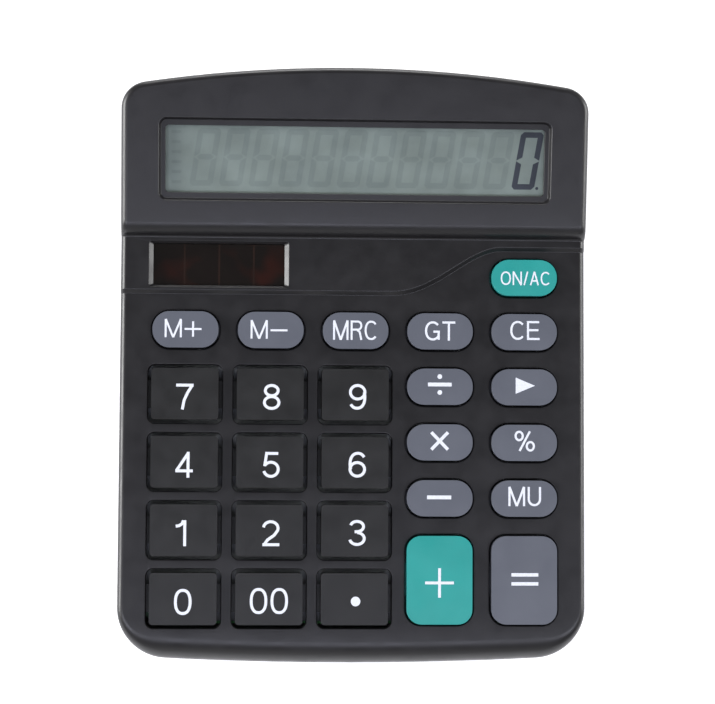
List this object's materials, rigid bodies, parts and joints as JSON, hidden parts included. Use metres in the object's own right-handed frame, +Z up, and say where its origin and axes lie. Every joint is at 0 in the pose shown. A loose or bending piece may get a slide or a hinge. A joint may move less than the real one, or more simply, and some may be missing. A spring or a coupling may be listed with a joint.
{
  "type": "desktop calculator",
  "caption": "Desktop calculator with a wedge-shaped black housing, tilted display head, solar panel, sprung keys and a hinged battery door underneath.",
  "frame": {"origin": "middle of the bounding footprint, on the plane the rubber feet stand on", "axes": "+X across the keys to the right, +Y from the front edge to the display, +Z up"},
  "size_m": [0.118, 0.148, 0.038],
  "materials": {
    "black_shell": "fine spark texture, satin",
    "black_base": "fine spark texture, matt",
    "black_inner": "matt",
    "black_key": "satin",
    "grey_key": "semi gloss",
    "teal_key": "semi gloss",
    "silicone": "moulded silicone, matt",
    "board_green": "solder mask on glass laminate",
    "black_epoxy": "cured epoxy",
    "capacitor_blue": "shrink sleeve",
    "clear_window": "clear acrylic",
    "lcd_polarizer": "polarizing film",
    "lcd_glass": "display glass",
    "lcd_reflector": "diffuse reflector film",
    "ribbon_amber": "printed film",
    "tinted_window": "tinted acrylic",
    "solar_film": "amorphous silicon on glass",
    "wire_sleeve": "vinyl sleeve",
    "cell_sleeve": "plain cell sleeve",
    "plated_contact": "nickel plated spring steel",
    "screw_steel": "zinc plated",
    "foot_rubber": "matt rubber"
  },
  "bodies": {
    "root": {"top_housing": "black_shell", "bottom_housing": "black_base", "rubber_keypad": "silicone", "main_board": "board_green", "chip_blob": "black_epoxy", "power_capacitor": "capacitor_blue", "display_lens": "clear_window", "lcd_polarizer": "lcd_polarizer", "lcd_front_glass": "lcd_glass", "lcd_rear_glass": "lcd_glass", "lcd_reflector": "lcd_reflector", "lcd_frame": "black_inner", "lcd_ribbon": "ribbon_amber", "solar_window": "tinted_window", "solar_cell": "solar_film", "solar_wires": "wire_sleeve", "battery_cell": "cell_sleeve", "battery_spring": "plated_contact", "battery_plate": "plated_contact", "battery_wires": "wire_sleeve", "housing_screws": "screw_steel", "board_screws": "screw_steel", "rubber_feet": "foot_rubber"},
    "key_0_body": {"key_0": "black_key"},
    "key_1_body": {"key_1": "black_key"},
    "key_2_body": {"key_2": "black_key"},
    "key_3_body": {"key_3": "black_key"},
    "key_4_body": {"key_4": "black_key"},
    "key_5_body": {"key_5": "black_key"},
    "key_6_body": {"key_6": "black_key"},
    "key_7_body": {"key_7": "black_key"},
    "key_8_body": {"key_8": "black_key"},
    "key_9_body": {"key_9": "black_key"},
    "key_double_zero_body": {"key_double_zero": "black_key"},
    "key_point_body": {"key_point": "black_key"},
    "key_memory_plus_body": {"key_memory_plus": "grey_key"},
    "key_memory_minus_body": {"key_memory_minus": "grey_key"},
    "key_memory_recall_body": {"key_memory_recall": "grey_key"},
    "key_grand_total_body": {"key_grand_total": "grey_key"},
    "key_clear_entry_body": {"key_clear_entry": "grey_key"},
    "key_divide_body": {"key_divide": "grey_key"},
    "key_backspace_body": {"key_backspace": "grey_key"},
    "key_multiply_body": {"key_multiply": "grey_key"},
    "key_percent_body": {"key_percent": "grey_key"},
    "key_subtract_body": {"key_subtract": "grey_key"},
    "key_markup_body": {"key_markup": "grey_key"},
    "key_equals_body": {"key_equals": "grey_key"},
    "key_power_body": {"key_power": "teal_key"},
    "key_add_body": {"key_add": "teal_key"},
    "battery_door_body": {"battery_door": "black_base"}
  },
  "joints": [
    {"name": "key_0_press", "type": "slide", "parent": "root", "child": "key_0_body", "axis": [0, 0.0958, -0.9954], "range_m": [0, 0.0012], "stiffness_N_per_m": 400, "springref_m": -0.0008, "deforming": ["rubber_keypad"]},
    {"name": "key_1_press", "type": "slide", "parent": "root", "child": "key_1_body", "axis": [0, 0.0958, -0.9954], "range_m": [0, 0.0012], "stiffness_N_per_m": 400, "springref_m": -0.0008, "deforming": ["rubber_keypad"]},
    {"name": "key_2_press", "type": "slide", "parent": "root", "child": "key_2_body", "axis": [0, 0.0958, -0.9954], "range_m": [0, 0.0012], "stiffness_N_per_m": 400, "springref_m": -0.0008, "deforming": ["rubber_keypad"]},
    {"name": "key_3_press", "type": "slide", "parent": "root", "child": "key_3_body", "axis": [0, 0.0958, -0.9954], "range_m": [0, 0.0012], "stiffness_N_per_m": 400, "springref_m": -0.0008, "deforming": ["rubber_keypad"]},
    {"name": "key_4_press", "type": "slide", "parent": "root", "child": "key_4_body", "axis": [0, 0.0958, -0.9954], "range_m": [0, 0.0012], "stiffness_N_per_m": 400, "springref_m": -0.0008, "deforming": ["rubber_keypad"]},
    {"name": "key_5_press", "type": "slide", "parent": "root", "child": "key_5_body", "axis": [0, 0.0958, -0.9954], "range_m": [0, 0.0012], "stiffness_N_per_m": 400, "springref_m": -0.0008, "deforming": ["rubber_keypad"]},
    {"name": "key_6_press", "type": "slide", "parent": "root", "child": "key_6_body", "axis": [0, 0.0958, -0.9954], "range_m": [0, 0.0012], "stiffness_N_per_m": 400, "springref_m": -0.0008, "deforming": ["rubber_keypad"]},
    {"name": "key_7_press", "type": "slide", "parent": "root", "child": "key_7_body", "axis": [0, 0.0958, -0.9954], "range_m": [0, 0.0012], "stiffness_N_per_m": 400, "springref_m": -0.0008, "deforming": ["rubber_keypad"]},
    {"name": "key_8_press", "type": "slide", "parent": "root", "child": "key_8_body", "axis": [0, 0.0958, -0.9954], "range_m": [0, 0.0012], "stiffness_N_per_m": 400, "springref_m": -0.0008, "deforming": ["rubber_keypad"]},
    {"name": "key_9_press", "type": "slide", "parent": "root", "child": "key_9_body", "axis": [0, 0.0958, -0.9954], "range_m": [0, 0.0012], "stiffness_N_per_m": 400, "springref_m": -0.0008, "deforming": ["rubber_keypad"]},
    {"name": "key_double_zero_press", "type": "slide", "parent": "root", "child": "key_double_zero_body", "axis": [0, 0.0958, -0.9954], "range_m": [0, 0.0012], "stiffness_N_per_m": 400, "springref_m": -0.0008, "deforming": ["rubber_keypad"]},
    {"name": "key_point_press", "type": "slide", "parent": "root", "child": "key_point_body", "axis": [0, 0.0958, -0.9954], "range_m": [0, 0.0012], "stiffness_N_per_m": 400, "springref_m": -0.0008, "deforming": ["rubber_keypad"]},
    {"name": "key_memory_plus_press", "type": "slide", "parent": "root", "child": "key_memory_plus_body", "axis": [0, 0.0958, -0.9954], "range_m": [0, 0.0012], "stiffness_N_per_m": 400, "springref_m": -0.0008, "deforming": ["rubber_keypad"]},
    {"name": "key_memory_minus_press", "type": "slide", "parent": "root", "child": "key_memory_minus_body", "axis": [0, 0.0958, -0.9954], "range_m": [0, 0.0012], "stiffness_N_per_m": 400, "springref_m": -0.0008, "deforming": ["rubber_keypad"]},
    {"name": "key_memory_recall_press", "type": "slide", "parent": "root", "child": "key_memory_recall_body", "axis": [0, 0.0958, -0.9954], "range_m": [0, 0.0012], "stiffness_N_per_m": 400, "springref_m": -0.0008, "deforming": ["rubber_keypad"]},
    {"name": "key_grand_total_press", "type": "slide", "parent": "root", "child": "key_grand_total_body", "axis": [0, 0.0958, -0.9954], "range_m": [0, 0.0012], "stiffness_N_per_m": 400, "springref_m": -0.0008, "deforming": ["rubber_keypad"]},
    {"name": "key_clear_entry_press", "type": "slide", "parent": "root", "child": "key_clear_entry_body", "axis": [0, 0.0958, -0.9954], "range_m": [0, 0.0012], "stiffness_N_per_m": 400, "springref_m": -0.0008, "deforming": ["rubber_keypad"]},
    {"name": "key_divide_press", "type": "slide", "parent": "root", "child": "key_divide_body", "axis": [0, 0.0958, -0.9954], "range_m": [0, 0.0012], "stiffness_N_per_m": 400, "springref_m": -0.0008, "deforming": ["rubber_keypad"]},
    {"name": "key_backspace_press", "type": "slide", "parent": "root", "child": "key_backspace_body", "axis": [0, 0.0958, -0.9954], "range_m": [0, 0.0012], "stiffness_N_per_m": 400, "springref_m": -0.0008, "deforming": ["rubber_keypad"]},
    {"name": "key_multiply_press", "type": "slide", "parent": "root", "child": "key_multiply_body", "axis": [0, 0.0958, -0.9954], "range_m": [0, 0.0012], "stiffness_N_per_m": 400, "springref_m": -0.0008, "deforming": ["rubber_keypad"]},
    {"name": "key_percent_press", "type": "slide", "parent": "root", "child": "key_percent_body", "axis": [0, 0.0958, -0.9954], "range_m": [0, 0.0012], "stiffness_N_per_m": 400, "springref_m": -0.0008, "deforming": ["rubber_keypad"]},
    {"name": "key_subtract_press", "type": "slide", "parent": "root", "child": "key_subtract_body", "axis": [0, 0.0958, -0.9954], "range_m": [0, 0.0012], "stiffness_N_per_m": 400, "springref_m": -0.0008, "deforming": ["rubber_keypad"]},
    {"name": "key_markup_press", "type": "slide", "parent": "root", "child": "key_markup_body", "axis": [0, 0.0958, -0.9954], "range_m": [0, 0.0012], "stiffness_N_per_m": 400, "springref_m": -0.0008, "deforming": ["rubber_keypad"]},
    {"name": "key_equals_press", "type": "slide", "parent": "root", "child": "key_equals_body", "axis": [0, 0.0958, -0.9954], "range_m": [0, 0.0012], "stiffness_N_per_m": 500, "springref_m": -0.0008, "deforming": ["rubber_keypad"]},
    {"name": "key_power_press", "type": "slide", "parent": "root", "child": "key_power_body", "axis": [0, 0.0958, -0.9954], "range_m": [0, 0.0012], "stiffness_N_per_m": 400, "springref_m": -0.0008, "deforming": ["rubber_keypad"]},
    {"name": "key_add_press", "type": "slide", "parent": "root", "child": "key_add_body", "axis": [0, 0.0958, -0.9954], "range_m": [0, 0.0012], "stiffness_N_per_m": 500, "springref_m": -0.0008, "deforming": ["rubber_keypad"]},
    {"name": "battery_door_hinge", "type": "hinge", "parent": "root", "child": "battery_door_body", "pos_m": [0, 0.0443, 0.0012], "axis": [-1, 0, 0], "range_deg": [0, 60]}
  ]
}
